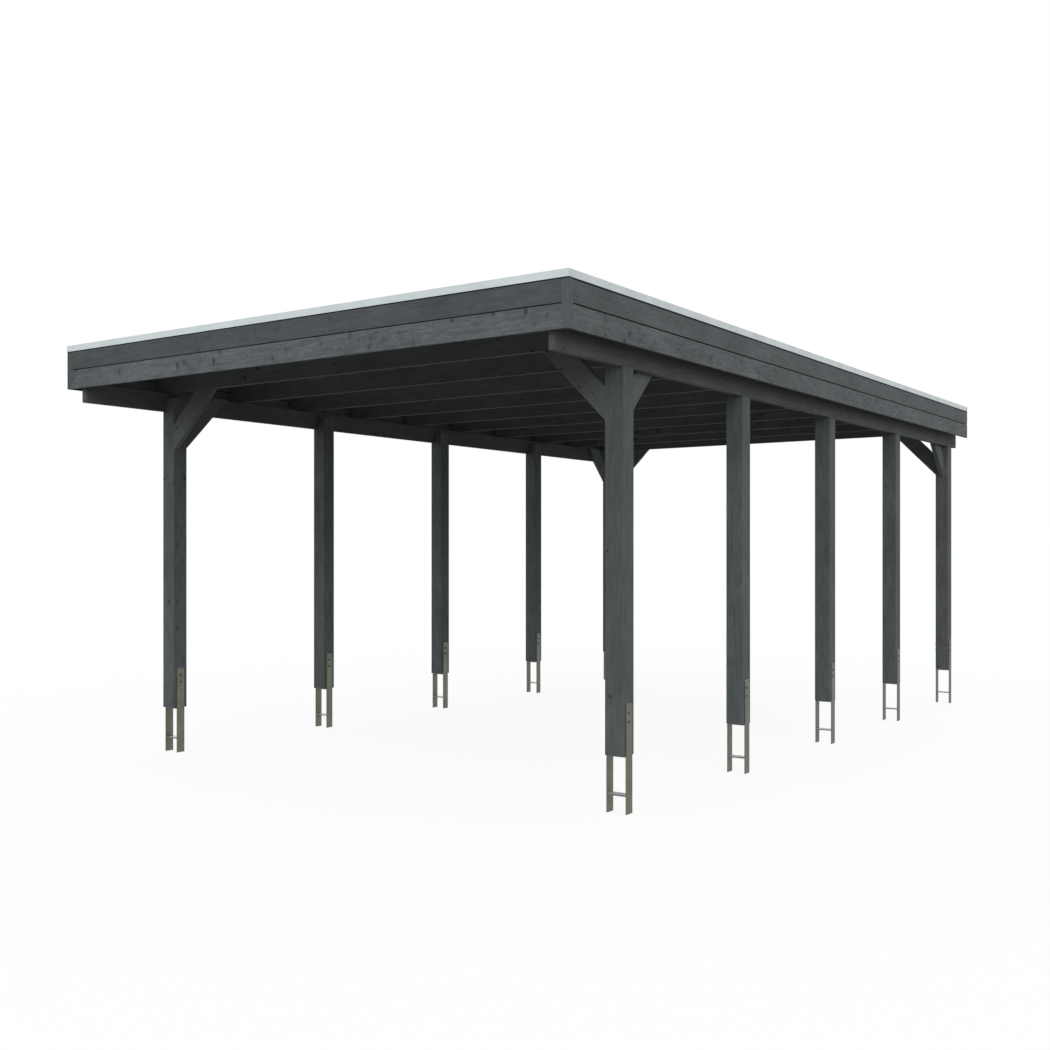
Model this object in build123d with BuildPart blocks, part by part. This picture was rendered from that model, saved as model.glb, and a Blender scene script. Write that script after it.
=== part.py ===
"""Flat-roofed timber carport on two rows of posts.

Each post stands in a steel H-anchor and is notched at its outer top corner
for a purlin. Rafters lie across the two purlins, knee braces stiffen the
four corner posts, and trapezoidal metal sheets cover the rafters. A fascia
two boards high runs round the front and both sides under an edge trim. The
back stays open, so rain can run off the sheets.

X is the width, Y the length with the front at -Y, and Z points up. The
origin is on the floor, in the middle of the overall box. Millimetres.
"""

from build123d import *
from math import radians, tan, cos
import os

os.makedirs("parts", exist_ok=True)

# Roof outline, over the outer faces of the fascia boards
roof_width = 4004.0
roof_length = 7032.0

# Posts, in two rows along the length
post_rows = 5
post_side = 115.0
post_length = 2200.0
post_chamfer = 1.5
notch_height = 93.0
front_overhang = 708.0
back_overhang = 149.0
side_overhang = 106.0

# H-anchors: two flat bars beside the post, joined by two cross plates
anchor_length = 600.0
anchor_width = 65.0
anchor_bar_thickness = 6.0
anchor_plate_thickness = 8.0
anchor_plate_spacing = 213.0
anchor_below_post = 318.0

# Purlins on edge in the post notches
purlin_thickness = 40.0
purlin_height = 132.0
purlin_setback = 40.0

# Rafters on edge across the purlins
rafter_count = 10
rafter_thickness = 40.0
rafter_height = 140.0

# Knee braces at the corner posts
brace_thickness = 40.0
brace_width = 130.0
brace_angle = 45.0
brace_foot_drop = 284.0

# Fascia: a lower and an upper board with a shadow groove between them
fascia_thickness = 20.0
fascia_drop = 39.0
lower_board_height = 123.0
upper_board_height = 160.0
groove_height = 6.0
tongue_thickness = 12.0
corner_batten_side = 40.0

# Edge trim, an L-shaped angle over the top edge of the fascia
trim_thickness = 2.0
trim_height = 40.0
trim_flange = 60.0

# Trapezoidal roof sheets
sheet_count = 4
ribs_per_sheet = 5
sheet_thickness = 1.0
rib_height = 35.0
rib_base = 60.0
rib_crest = 20.0
sheet_side_gap = 2.0
sheet_front_gap = 5.0
sheet_back_inset = 10.0

# Heights above the floor
post_bottom = anchor_below_post
post_top = post_bottom + post_length
purlin_bottom = post_top - notch_height
rafter_bottom = purlin_bottom + purlin_height
rafter_top = rafter_bottom + rafter_height
fascia_bottom = rafter_bottom - fascia_drop
upper_board_bottom = fascia_bottom + lower_board_height + groove_height
fascia_top = upper_board_bottom + upper_board_height
trim_top = fascia_top + trim_thickness

# Places along the length
front = (trim_thickness - roof_length) / 2
back = front + roof_length
first_post_face = front + front_overhang
last_post_face = back - back_overhang
post_pitch = (last_post_face - first_post_face - post_side) / (post_rows - 1)
purlin_front = front + purlin_setback
first_rafter_face = first_post_face
last_rafter_face = last_post_face - rafter_thickness
rafter_pitch = (last_rafter_face - first_rafter_face) / (rafter_count - 1)

# Places across the width, on the right-hand side
fascia_face = roof_width / 2
fascia_inside = fascia_face - fascia_thickness
post_outside = fascia_face - side_overhang
post_inside = post_outside - post_side
purlin_inside = post_outside - purlin_thickness

sides = {"left": -1, "right": 1}


def finish(piece, name):
    """Label a finished piece and write it."""
    piece.part.label = name
    export_step(piece.part, f"parts/{name}.step")


def board(x_range, y_range, z_range):
    """A straight board that fills the three ranges."""
    x0, x1 = sorted(x_range)
    y0, y1 = sorted(y_range)
    z0, z1 = sorted(z_range)
    with BuildPart() as piece:
        with BuildSketch(Plane.XY.offset(z0)):
            with Locations(((x0 + x1) / 2, (y0 + y1) / 2)):
                Rectangle(x1 - x0, y1 - y0)
        extrude(amount=z1 - z0)
    return piece


def outline(points):
    """A face in the current sketch, with its corners where the points say."""
    Polygon(*points, align=None)


def post_y(row):
    """Middle of a post along the length, with row 0 at the front."""
    return first_post_face + post_side / 2 + row * post_pitch


# Posts: a square timber, notched on its outer side down to the purlin's seat
def make_post(side, row):
    middle = side * (post_outside - post_side / 2)
    with BuildPart() as post:
        with BuildSketch(Plane.XY.offset(post_bottom)):
            with Locations((middle, post_y(row))):
                Rectangle(post_side, post_side)
        extrude(amount=post_length)
        chamfer(post.edges().filter_by(Axis.Z), length=post_chamfer)
        with BuildSketch(Plane.XY.offset(purlin_bottom)):
            with Locations((side * (post_outside - purlin_thickness / 2), post_y(row))):
                Rectangle(purlin_thickness, post_side)
        extrude(amount=notch_height, mode=Mode.SUBTRACT)
    return post


# H-anchors: the post stands on the upper plate, between the two bars
def make_anchor(side, row):
    middle = side * (post_outside - post_side / 2)
    bar_place = (post_side + anchor_bar_thickness) / 2
    upper_plate = post_bottom - anchor_plate_thickness
    lower_plate = upper_plate - anchor_plate_spacing
    with BuildPart() as anchor:
        with BuildSketch(Plane.XY):
            with Locations((middle - bar_place, post_y(row)), (middle + bar_place, post_y(row))):
                Rectangle(anchor_bar_thickness, anchor_width)
        extrude(amount=anchor_length)
        for plate_bottom in (lower_plate, upper_plate):
            with BuildSketch(Plane.XY.offset(plate_bottom)):
                with Locations((middle, post_y(row))):
                    Rectangle(post_side, anchor_width)
            extrude(amount=anchor_plate_thickness)
    return anchor


for side_name, side in sides.items():
    for row in range(post_rows):
        finish(make_post(side, row), f"post_{side_name}_{row + 1}")
        finish(make_anchor(side, row), f"anchor_{side_name}_{row + 1}")


# Purlins: on edge in the notches, flush with the outer faces of the posts
for side_name, side in sides.items():
    purlin = board(
        (side * purlin_inside, side * post_outside),
        (purlin_front, back),
        (purlin_bottom, rafter_bottom),
    )
    finish(purlin, f"purlin_{side_name}")


# Rafters: one behind the front fascia, the others evenly spaced, with the end
# two flush with the end faces of the corner posts
rafter_faces = [purlin_front]
rafter_faces += [first_rafter_face + step * rafter_pitch for step in range(rafter_count)]

with BuildPart() as rafters:
    with BuildSketch(Plane.XY.offset(rafter_bottom)):
        with Locations(*[(0, face + rafter_thickness / 2) for face in rafter_faces]):
            Rectangle(2 * fascia_inside, rafter_thickness)
    extrude(amount=rafter_height)
finish(rafters, "rafters")


def brace_outline(post_face, direction, top):
    """A brace seen square to its broad face, cut plumb at the post and level at the top."""
    slope = tan(radians(brace_angle))
    foot = purlin_bottom - brace_foot_drop
    heel = foot + brace_width / cos(radians(brace_angle))
    lower_end = post_face + direction * (top - foot) / slope
    upper_end = post_face + direction * (top - heel) / slope
    outline([(post_face, foot), (lower_end, top), (upper_end, top), (post_face, heel)])


# Cross braces: flush with the end face of the post, cut level under a rafter
def make_cross_brace(side, y_middle):
    with BuildPart() as brace:
        with BuildSketch(Plane.XZ.offset(-y_middle)):
            brace_outline(side * post_inside, -side, rafter_bottom)
        extrude(amount=brace_thickness / 2, both=True)
    return brace


# Length braces: lapped over the inner face of the purlin, as high as its top
def make_length_brace(side, post_face, direction):
    x_middle = side * (purlin_inside - brace_thickness / 2)
    with BuildPart() as brace:
        with BuildSketch(Plane.YZ.offset(x_middle)):
            brace_outline(post_face, direction, rafter_bottom)
        extrude(amount=brace_thickness / 2, both=True)
    return brace


for side_name, side in sides.items():
    front_cross = make_cross_brace(side, first_post_face + brace_thickness / 2)
    finish(front_cross, f"brace_cross_front_{side_name}")
    back_cross = make_cross_brace(side, last_post_face - brace_thickness / 2)
    finish(back_cross, f"brace_cross_back_{side_name}")
    front_length = make_length_brace(side, first_post_face + post_side, 1)
    finish(front_length, f"brace_length_front_{side_name}")
    back_length = make_length_brace(side, last_post_face - post_side, -1)
    finish(back_length, f"brace_length_back_{side_name}")


def lower_board_section(face, inward):
    """Lower fascia board in section, with the tongue that closes the groove behind."""
    body = face + inward * fascia_thickness / 2
    tongue = face + inward * (fascia_thickness - tongue_thickness / 2)
    with Locations((body, fascia_bottom + lower_board_height / 2)):
        Rectangle(fascia_thickness, lower_board_height)
    with Locations((tongue, upper_board_bottom - groove_height / 2)):
        Rectangle(tongue_thickness, groove_height)


def upper_board_section(face, inward):
    """Upper fascia board in section."""
    body = face + inward * fascia_thickness / 2
    with Locations((body, upper_board_bottom + upper_board_height / 2)):
        Rectangle(fascia_thickness, upper_board_height)


# Fascia boards: they butt against a square batten at each front corner
sections = {"lower": lower_board_section, "upper": upper_board_section}
side_board_front = front + corner_batten_side
side_board_middle = (side_board_front + back) / 2

for board_name, section in sections.items():
    with BuildPart() as front_board:
        with BuildSketch(Plane.YZ):
            section(front, 1)
        extrude(amount=fascia_face - corner_batten_side, both=True)
    finish(front_board, f"fascia_front_{board_name}")
    for side_name, side in sides.items():
        with BuildPart() as side_board:
            with BuildSketch(Plane.XZ.offset(-side_board_middle)):
                section(side * fascia_face, -side)
            extrude(amount=back - side_board_middle, both=True)
        finish(side_board, f"fascia_{side_name}_{board_name}")

for side_name, side in sides.items():
    batten = board(
        (side * (fascia_face - corner_batten_side), side * fascia_face),
        (front, front + corner_batten_side),
        (fascia_bottom, fascia_top),
    )
    finish(batten, f"corner_batten_{side_name}")


# Edge trim: a flange over the fascia and a leg down its face, mitred at the
# front corners
trim_face = fascia_face + trim_thickness
trim_front = front - trim_thickness


def front_strip(width):
    """Front strip in plan, mitred at both ends."""
    inner = trim_face - width
    y_inner = trim_front + width
    outline([(-trim_face, trim_front), (trim_face, trim_front), (inner, y_inner), (-inner, y_inner)])


def side_strip(side, width):
    """Side strip in plan, mitred at its front end."""
    outer = side * trim_face
    inner = side * (trim_face - width)
    outline([(outer, trim_front), (outer, back), (inner, back), (inner, trim_front + width)])


with BuildPart() as front_trim:
    with BuildSketch(Plane.XY.offset(fascia_top)):
        front_strip(trim_flange)
    extrude(amount=trim_thickness)
    with BuildSketch(Plane.XY.offset(trim_top - trim_height)):
        front_strip(trim_thickness)
    extrude(amount=trim_height)
finish(front_trim, "edge_trim_front")

for side_name, side in sides.items():
    with BuildPart() as side_trim:
        with BuildSketch(Plane.XY.offset(fascia_top)):
            side_strip(side, trim_flange)
        extrude(amount=trim_thickness)
        with BuildSketch(Plane.XY.offset(trim_top - trim_height)):
            side_strip(side, trim_thickness)
        extrude(amount=trim_height)
    finish(side_trim, f"edge_trim_{side_name}")


# Roof sheets: ribs run along the length, and every second sheet laps over
# the edge ribs of its neighbours
roof_edge = fascia_inside - sheet_side_gap
rib_pitch = (2 * roof_edge - rib_base) / (sheet_count * ribs_per_sheet)
sheet_front = purlin_front + sheet_front_gap
sheet_back = back - sheet_back_inset
sheet_middle = (sheet_front + sheet_back) / 2


def rib_line(first_rib, base):
    """Points along one sheet from its first edge rib to its last one."""
    points = []
    for rib in range(ribs_per_sheet + 1):
        x = -roof_edge + rib_base / 2 + (first_rib + rib) * rib_pitch
        points += [(x - rib_base / 2, base), (x - rib_crest / 2, base + rib_height)]
        points += [(x + rib_crest / 2, base + rib_height), (x + rib_base / 2, base)]
    return points


def sheet_section(sheet, base):
    """One sheet in section: its underside and the same line a thickness higher."""
    first_rib = sheet * ribs_per_sheet
    underside = rib_line(first_rib, base)
    upper_side = rib_line(first_rib, base + sheet_thickness)
    outline(underside + upper_side[::-1])


for layer_name, first_sheet, base in (
    ("under", 0, rafter_top),
    ("over", 1, rafter_top + sheet_thickness),
):
    with BuildPart() as sheets:
        with BuildSketch(Plane.XZ.offset(-sheet_middle)):
            for sheet in range(first_sheet, sheet_count, 2):
                sheet_section(sheet, base)
        extrude(amount=sheet_back - sheet_middle, both=True)
    finish(sheets, f"roof_sheets_{layer_name}")
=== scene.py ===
# %% [markdown]
# # A timber carport, from bare solids to stained wood and zinc
#
# The solids of the carport are already made to size, and this notebook only
# dresses them. It loads them, eases their edges, gives every surface the
# material it has on the real thing, adds the screws and bolts that hold it
# together, and sets a plain stage with soft light and a camera.

import math

import bpy
import numpy as np
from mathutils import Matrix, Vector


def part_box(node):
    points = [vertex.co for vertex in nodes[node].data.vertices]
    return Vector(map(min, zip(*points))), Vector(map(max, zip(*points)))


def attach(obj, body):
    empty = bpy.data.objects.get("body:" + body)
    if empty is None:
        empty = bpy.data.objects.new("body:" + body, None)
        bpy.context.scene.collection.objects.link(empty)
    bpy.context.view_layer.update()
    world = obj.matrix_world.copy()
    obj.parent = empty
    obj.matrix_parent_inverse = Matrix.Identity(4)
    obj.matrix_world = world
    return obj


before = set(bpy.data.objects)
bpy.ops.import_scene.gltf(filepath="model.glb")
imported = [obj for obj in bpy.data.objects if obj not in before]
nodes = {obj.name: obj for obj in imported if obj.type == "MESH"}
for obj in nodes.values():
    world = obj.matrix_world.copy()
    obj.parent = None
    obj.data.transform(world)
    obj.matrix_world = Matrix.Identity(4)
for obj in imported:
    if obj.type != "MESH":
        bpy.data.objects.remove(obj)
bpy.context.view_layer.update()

# %% [markdown]
# ## Two small tools for materials
#
# Colours are easiest to read as the hex values of a paint chart, which are
# sRGB, while Blender mixes light in linear values. One function turns the
# first into the second, so every colour below can be checked by eye.


# %% From a paint chart to linear light
def linear(hex_colour):
    """Turn #rrggbb into linear light: c/12.92 when dark, else ((c+0.055)/1.055)^2.4."""
    channels = np.array([int(hex_colour[i : i + 2], 16) for i in (1, 3, 5)]) / 255
    light = np.where(channels <= 0.04045, channels / 12.92, ((channels + 0.055) / 1.055) ** 2.4)
    return (*light.tolist(), 1.0)


print("slate grey is", [round(c, 3) for c in linear("#505659")[:3]], "in linear light")

# %% [markdown]
# A material is a graph of nodes. One function adds a node, sets its options
# and joins its inputs, so each material reads as a list of steps.

# %% One function that adds a node
# a Mix node set to colours keeps its two colours in sockets 6 and 7, its result in output 2
FIRST, SECOND = 6, 7
COLOURS = {"out": 2, "data_type": "RGBA"}


def add(tree, kind, inputs=None, out=None, **settings):
    """Add a node of this kind, and return it or the one of its outputs that out names.

    An input is a plain value or another node's output.
    """
    made = tree.nodes.new("ShaderNode" + kind)
    for key, value in settings.items():
        setattr(made, key, value)
    for key, value in (inputs or {}).items():
        if isinstance(value, bpy.types.NodeSocket):
            tree.links.new(value, made.inputs[key])
        else:
            made.inputs[key].default_value = value
    return made if out is None else made.outputs[out]


def new_material(name):
    """An empty material with a surface shader that is joined to its output."""
    material = bpy.data.materials.new(name)
    material.use_nodes = True
    tree = material.node_tree
    tree.nodes.clear()
    surface = add(tree, "BsdfPrincipled")
    add(tree, "OutputMaterial", {"Surface": surface.outputs["BSDF"]})
    return material, tree, surface


print("ready to build materials in Blender", bpy.app.version_string)

# %% [markdown]
# ## Planed spruce: which way the grain runs
#
# The frame is planed spruce under a thin grey stain, so the wood shows through
# it. A flat picture of boards would repeat and would stretch over the ends. A
# pattern worked out in space, from each point's own place, runs through the
# timber as rings do: lines on the long sides, curves on the cut ends. It only
# has to know which way the grain runs, and a mapping turns that way upright.

# %% Turn each piece's grain upright
GRAIN_TURN = {
    "upright": (0.0, 0.0, 0.0),
    "across": (0.0, -math.pi / 2, 0.0),
    "lengthwise": (math.pi / 2, 0.0, math.pi / 2),
    "rising_right": (0.0, -math.pi / 4, 0.0),
    "rising_left": (0.0, math.pi / 4, 0.0),
    "rising_back": (math.pi / 4, 0.0, 0.0),
    "rising_front": (-math.pi / 4, 0.0, 0.0),
}


def in_grain(tree, grain):
    """The point's own place, turned so that the grain runs along Z."""
    place = add(tree, "TexCoord", out="Object")
    return add(tree, "Mapping", {"Vector": place, "Rotation": GRAIN_TURN[grain]}, out="Vector")


print("grain runs", ", ".join(GRAIN_TURN))

# %% [markdown]
# ## The marks along the grain
#
# Nearly all that one sees of a planed board is drawn out along its grain: the
# fibres, the bands that took more stain, the drying cracks. One noise does for
# each, squeezed across the grain and stretched along it. Their sizes are those
# of the real marks in millimetres. The fibres are drawn about three times as
# coarse as in real spruce, or they would be lost in the picture.

# %% A noise for each mark
# one wave across the grain and one along it in millimetres, and the finer waves that ride on it
WOOD_MARKS = {
    "wobble": (110, 1250, 2.0),
    "patches": (250, 500, 3.0),
    "clouds": (50, 120, 3.0),
    "bands": (9, 190, 3.0),
    "fibres": (1.1, 70, 2.0),
    "cracks": (8, 770, 4.0),
    "ragged": (5, 8, 3.0),
}


def wood_marks(tree, place, curl):
    """A noise from 0 to 1 for each mark: noise(x / across, y / across, z / along).

    Here z runs along the grain, and curl swirls the clouds.
    """
    marks = {}
    for mark, (across, along, detail) in WOOD_MARKS.items():
        waves = (1000 / across, 1000 / across, 1000 / along)
        drawn_out = add(tree, "VectorMath", {0: place, 1: waves}, out=0, operation="MULTIPLY")
        swirl = curl if mark == "clouds" else 0.0
        sockets = {"Vector": drawn_out, "Scale": 1.0, "Detail": detail, "Distortion": swirl}
        marks[mark] = add(tree, "TexNoise", sockets, out="Fac")
    return marks


print(len(WOOD_MARKS), "kinds of mark in the wood")

# %% [markdown]
# ## Knots
#
# A knot is the foot of a branch, so each has one centre, a size and a darkness
# of its own, and the grain bends round it. A Voronoi pattern gives just that:
# cells in space, each with one centre and a random colour, whose channels can
# stand for the size and the darkness. Most knots in these boards are only pale
# smudges under the stain, so the chance is squared and few come out black.

# %% The nearest branch
CELL_HEIGHT = 2.6  # how much taller than wide a branch's cell is
NO_KNOT = 0.25  # a chance below this leaves a cell without a knot
PALE, BLACK = 0.15, 0.95  # the palest and the darkest knot
FULL_RADIUS = 0.003  # from this radius in metres, a knot is as dark as its chance says


def nearest_branch(tree, place, wood):
    """The way to a point from the nearest branch, and the branch's radius and darkness.

    The cells are gap wide and CELL_HEIGHT * gap tall, and stretch shortens the way
    in one direction across the grain, which makes the knots there that much wider.
    """
    gap, tall = wood["gap"], CELL_HEIGHT * wood["gap"]
    in_cells = add(tree, "VectorMath", {0: place, 1: (gap, gap, tall)}, out=0, operation="DIVIDE")
    branch = add(tree, "TexVoronoi", {"Vector": in_cells, "Scale": 1.0, "Randomness": 1.0}).outputs
    away = add(tree, "VectorMath", {0: in_cells, 1: branch["Position"]}, out=0, operation="SUBTRACT")
    metres = (gap / wood["stretch"], gap, tall)
    away = add(tree, "VectorMath", {0: away, 1: metres}, out=0, operation="MULTIPLY")

    chance = add(tree, "SeparateColor", {"Color": branch["Color"]}).outputs
    sockets = {"Value": chance["Red"], "From Min": NO_KNOT, "To Max": wood["largest"]}
    radius = add(tree, "MapRange", sockets, out="Result")
    dark = add(tree, "Math", {0: chance["Green"], 1: 2.0}, out=0, operation="POWER")
    dark = add(tree, "MapRange", {"Value": dark, "To Min": PALE, "To Max": BLACK}, out="Result")
    grown = add(tree, "MapRange", {"Value": radius, "From Max": FULL_RADIUS}, out="Result")
    dark = add(tree, "Math", {0: dark, 1: grown}, out=0, operation="MULTIPLY")
    return away, radius, dark


print("the darkest knots are", BLACK, "dark, the palest", PALE)

# %% [markdown]
# Round the branch's middle lie its core, its dark rim, and then a stretch where
# the grain bends. Each is a soft step at its own distance from the rim. The
# rim is ragged, and the bent grain reaches further along the board than across.

# %% Knots, their cores and the bent grain round them
RAGGED = 0.010  # how far the rim wanders, in metres, as are the steps below
RIM = 0.0035
CORE_STEP = (0.0020, -0.0020)
BEND_STEP = (0.026, 0.001)
BEND_ALONG = 0.4  # a distance along the grain counts this much for the bend


def knots(tree, place, ragged, wood):
    """How dark the knots, their cores and the bent grain round them are, from 0 to 1.

    A point is past the rim by its distance from the middle + RAGGED * ragged - the
    radius, and the rim fades out over blur.
    """
    away, radius, dark = nearest_branch(tree, place, wood)
    distance = add(tree, "VectorMath", {0: away}, out="Value", operation="LENGTH")
    past = add(tree, "Math", {0: ragged, 1: RAGGED, 2: distance}, out=0, operation="MULTIPLY_ADD")
    past = add(tree, "Math", {0: past, 1: radius}, out=0, operation="SUBTRACT")
    drawn_out = add(tree, "VectorMath", {0: away, 1: (1.0, 1.0, BEND_ALONG)}, out=0, operation="MULTIPLY")
    past_bend = add(tree, "VectorMath", {0: drawn_out}, out="Value", operation="LENGTH")
    past_bend = add(tree, "Math", {0: past_bend, 1: radius}, out=0, operation="SUBTRACT")

    found = {}
    for part, value, (outside, inside) in (
        ("knot", past, (RIM + wood["blur"], RIM)),
        ("core", past, CORE_STEP),
        ("bend", past_bend, BEND_STEP),
    ):
        sockets = {"Value": value, "From Min": outside, "From Max": inside}
        shape = add(tree, "MapRange", sockets, out="Result", interpolation_type="SMOOTHSTEP")
        found[part] = add(tree, "Math", {0: shape, 1: dark}, out=0, operation="MULTIPLY")
    return found


print("the grain bends up to", BEND_STEP[0] * 1000, "mm from a knot")

# %% [markdown]
# ## Growth rings
#
# Each year's ring is pale early wood that ends in a thin line of dark late
# wood. The fraction of the place across the rings, divided by their pitch,
# climbs from 0 to 1 in each ring, and a power keeps it low until the end. A
# slow wobble keeps the lines from running dead straight, and near a knot they
# are pushed aside.

# %% Late wood in each ring
RING_PITCH = 0.0045  # one year's growth in metres
ACROSS_THE_RINGS = (0.62, 0.78, 0.0)
WOBBLE, PUSHED = 0.11, 0.010  # how far the wobble and a knot move the rings, in metres
LATE_LINE = 2.6  # a higher power makes a thinner line


def late_wood(tree, place, wobble, bend):
    """Late wood from 0 to 1: the fraction of ring to the power LATE_LINE.

    ring = (place across the rings + WOBBLE * wobble + PUSHED * bend) / RING_PITCH.
    """
    sockets = {0: place, 1: ACROSS_THE_RINGS}
    across = add(tree, "VectorMath", sockets, out="Value", operation="DOT_PRODUCT")
    drift = add(tree, "Math", {0: wobble, 1: WOBBLE, 2: across}, out=0, operation="MULTIPLY_ADD")
    drift = add(tree, "Math", {0: bend, 1: PUSHED, 2: drift}, out=0, operation="MULTIPLY_ADD")
    ring = add(tree, "Math", {0: drift, 1: RING_PITCH}, out=0, operation="DIVIDE")
    ring = add(tree, "Math", {0: ring}, out=0, operation="FRACT")
    return add(tree, "Math", {0: ring, 1: LATE_LINE}, out=0, operation="POWER")


print("rings", RING_PITCH * 1000, "mm apart")

# %% [markdown]
# ## Cut ends and worn arrises
#
# A cut end drinks the stain and turns darker, and an arris loses some and
# turns lighter. Both can be told from the way the face points: a cut end
# faces along the grain, and an arris faces between two long sides.

# %% Where the faces point
ALONG_THE_GRAIN = (0.55, 0.68)  # the face's part along the grain, from a long side to a cut end
OFF_A_SIDE = (0.985, 0.90)  # its larger part across the grain, from a long side to an arris


def cut_ends_and_arrises(tree, grain):
    """1 on cut ends, which point along the grain, and 1 on the arrises between long sides.

    On an arris neither part of the face's direction across the grain is near 1.
    """
    face = add(tree, "NewGeometry", out="True Normal")
    sockets = {"Vector": face, "Rotation": GRAIN_TURN[grain]}
    face = add(tree, "Mapping", sockets, out="Vector", vector_type="VECTOR")
    face = add(tree, "VectorMath", {0: face}, out=0, operation="ABSOLUTE")
    part = add(tree, "SeparateXYZ", {"Vector": face}).outputs
    sockets = {"Value": part["Z"], "From Min": ALONG_THE_GRAIN[0], "From Max": ALONG_THE_GRAIN[1]}
    cut_end = add(tree, "MapRange", sockets, out="Result")
    side = add(tree, "Math", {0: part["X"], 1: part["Y"]}, out=0, operation="MAXIMUM")
    sockets = {"Value": side, "From Min": OFF_A_SIDE[0], "From Max": OFF_A_SIDE[1]}
    arris = add(tree, "MapRange", sockets, out="Result")
    arris = add(tree, "Math", {0: arris, 1: cut_end}, out=0, operation="SUBTRACT", use_clamp=True)
    return cut_end, arris


print("an arris shows from", round(math.degrees(math.acos(OFF_A_SIDE[0]))), "degrees off a long side")

# %% [markdown]
# ## Painted shade in the seams
#
# The thin seams of the fascia, its groove and the line under the trim, are
# painted nearly black: painted shade in the groove's recess and a painted
# shadow under the trim. They run level all round, so their height tells where they are.


# %% Seams by their height
def painted_seam_shade(tree, seams):
    """1 where the height lies within a seam, from its bottom to its top, else 0."""
    place = add(tree, "TexCoord", out="Object")
    height = add(tree, "SeparateXYZ", {"Vector": place}, out="Z")
    # painted shade: the groove's recess and the strip under the trim turn dark by their height
    painted_shade = 0.0
    for bottom, top in seams:
        sockets = {0: height, 1: (bottom + top) / 2, 2: (top - bottom) / 2}
        within = add(tree, "Math", sockets, out=0, operation="COMPARE")
        painted_shade = add(tree, "Math", {0: within, 1: painted_shade}, out=0, operation="MAXIMUM")
    return painted_shade


def low(name):
    """The lowest corner of a solid's box."""
    return np.array(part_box(name)[0])


def high(name):
    """The highest corner of a solid's box."""
    return np.array(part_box(name)[1])


GROOVE_HEIGHT = 0.006
# how far the painted shade reaches below the groove, and the painted shadow below the trim
PAINTED_SHADE_BELOW = {"front": (0.0, 0.007), "side": (0.002, 0.010)}  # below the groove, and below the trim
groove_top = low("fascia_front_upper")[2]
trim_foot = low("edge_trim_front")[2]
# bands of painted shade: the groove with a strip below it, and a strip below the trim
groove, painted_shadow_under_trim = {}, {}
for place, (below_groove, below_trim) in PAINTED_SHADE_BELOW.items():
    groove[place] = (groove_top - GROOVE_HEIGHT - below_groove, groove_top)
    painted_shadow_under_trim[place] = (trim_foot - below_trim, trim_foot)
print("groove up to", round(groove_top, 4), "m, trim down to", round(trim_foot, 4), "m")

# %% [markdown]
# ## All the marks of a piece of wood
#
# Now the marks come together. A drying crack opens only where its noise is
# near its highest, so cracks stay few and thin.

# %% Every mark at a point
CRACK_STEP = (0.70, 0.75)


def all_marks(tree, grain, wood, seams):
    """Every mark of the wood at a point, each from 0 to 1, by its name."""
    place = in_grain(tree, grain)
    marks = wood_marks(tree, place, wood["curl"])
    marks.update(knots(tree, place, marks["ragged"], wood))
    marks["late"] = late_wood(tree, place, marks["wobble"], marks["bend"])
    sockets = {"Value": marks["cracks"], "From Min": CRACK_STEP[0], "From Max": CRACK_STEP[1]}
    marks["crack"] = add(tree, "MapRange", sockets, out="Result")
    marks["cut_end"], marks["arris"] = cut_ends_and_arrises(tree, grain)
    marks["seam"] = painted_seam_shade(tree, seams)
    return marks


print("cracks where their noise is over", CRACK_STEP[0])

# %% [markdown]
# ## The slate-grey stain
#
# The stain goes on like the real coats: first a colour between thin and thick
# stain, set by the late wood, the bands and the fibres, with darker and
# lighter patches and clouds, as the wood drinks unevenly.

# %% The first coat
LATE_TAKES = 0.22
TAKES_STAIN = {"bands": 1.0, "fibres": 0.35}
THIN_TO_THICK = (0.40, 1.05)
PATCHES = 0.14
CLOUD_NOISE = (0.3, 0.7)  # nearly all of a noise lies between these


def stain_colour(tree, thin, thick, marks, mottle):
    """Stain from thin to thick by LATE_TAKES * late wood + TAKES_STAIN * bands and fibres,
    then made up to PATCHES darker or lighter in patches and up to mottle in clouds."""
    amount = add(tree, "Math", {0: marks["late"], 1: LATE_TAKES}, out=0, operation="MULTIPLY")
    for mark, weight in TAKES_STAIN.items():
        sockets = {0: marks[mark], 1: weight, 2: amount}
        amount = add(tree, "Math", sockets, out=0, operation="MULTIPLY_ADD")
    sockets = {"Value": amount, "From Min": THIN_TO_THICK[0], "From Max": THIN_TO_THICK[1]}
    amount = add(tree, "MapRange", sockets, out="Result")
    colour = add(tree, "Mix", {"Factor": amount, FIRST: linear(thin), SECOND: linear(thick)}, **COLOURS)
    for mark, change in (("patches", PATCHES), ("clouds", mottle)):
        sockets = {"Value": marks[mark], "From Min": CLOUD_NOISE[0], "From Max": CLOUD_NOISE[1]}
        sockets |= {"To Min": 1 - change, "To Max": 1 + change}
        tone = add(tree, "MapRange", sockets, out="Result")
        colour = add(tree, "VectorMath", {0: colour, 1: tone}, out=0, operation="MULTIPLY")
    return colour


print("patches are up to", PATCHES, "darker or lighter")

# %% [markdown]
# Over the first coat lie the marks that cover it: the stain is thick in the
# bent grain, cracks are nearly black, the seams are painted nearly black as
# painted shade, knots have a black rim round a paler core. Each covers a share of what is under it.

# %% The marks over the coat
MARKS_OVER = {
    "crack": (0.70, "#121415"),
    "knot": (0.95, "#17191a"),
    "core": (0.45, "#303435"),
    "cut_end": (0.05, "#272b2c"),
    "arris": (0.10, "#6f7577"),
    # the seams: painted shade in the groove and painted shadow under the trim
    "seam": (0.85, "#0c0e0f"),
}
BEND_COVERS = 0.50


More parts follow.
